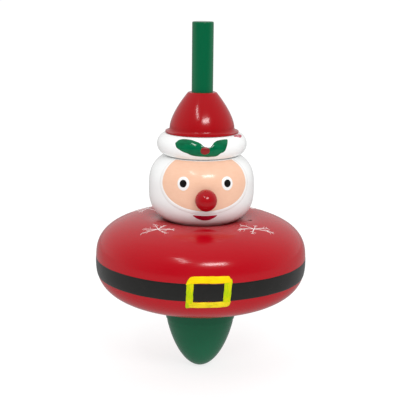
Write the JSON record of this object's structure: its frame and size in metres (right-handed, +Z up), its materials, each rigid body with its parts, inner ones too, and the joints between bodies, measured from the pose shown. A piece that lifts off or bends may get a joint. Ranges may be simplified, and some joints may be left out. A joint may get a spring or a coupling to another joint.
{
  "type": "spinning top",
  "caption": "Turned wooden finger top: a fat disc on an acorn foot, with a figure's ball head, hat and twirling stem.",
  "frame": {"origin": "lowest point of the foot's tip, on the axis of the dowel", "axes": "+Z up the dowel from the foot's tip to the stem's end; the face looks along -Y"},
  "size_m": [0.06, 0.06, 0.0996],
  "materials": {
    "green_lacquer": "glossy green lacquer on turned wood",
    "red_lacquer": "glossy red lacquer on turned wood",
    "white_lacquer": "glossy white lacquer on turned wood: the hat brim, the hair and the beard",
    "face_paint": "glossy skin-coloured paint",
    "black_paint": "glossy black paint",
    "yellow_paint": "thick glossy yellow relief paint",
    "white_paint": "thin white paint strokes",
    "holly_paint": "thick glossy green paint",
    "berry_paint": "thick glossy dark red paint"
  },
  "bodies": {
    "root": {"spindle": "green_lacquer", "foot": "green_lacquer", "body": "red_lacquer", "head": "white_lacquer", "nose": "red_lacquer", "hat_brim": "white_lacquer", "hat_crown": "red_lacquer"}
  },
  "joints": []
}
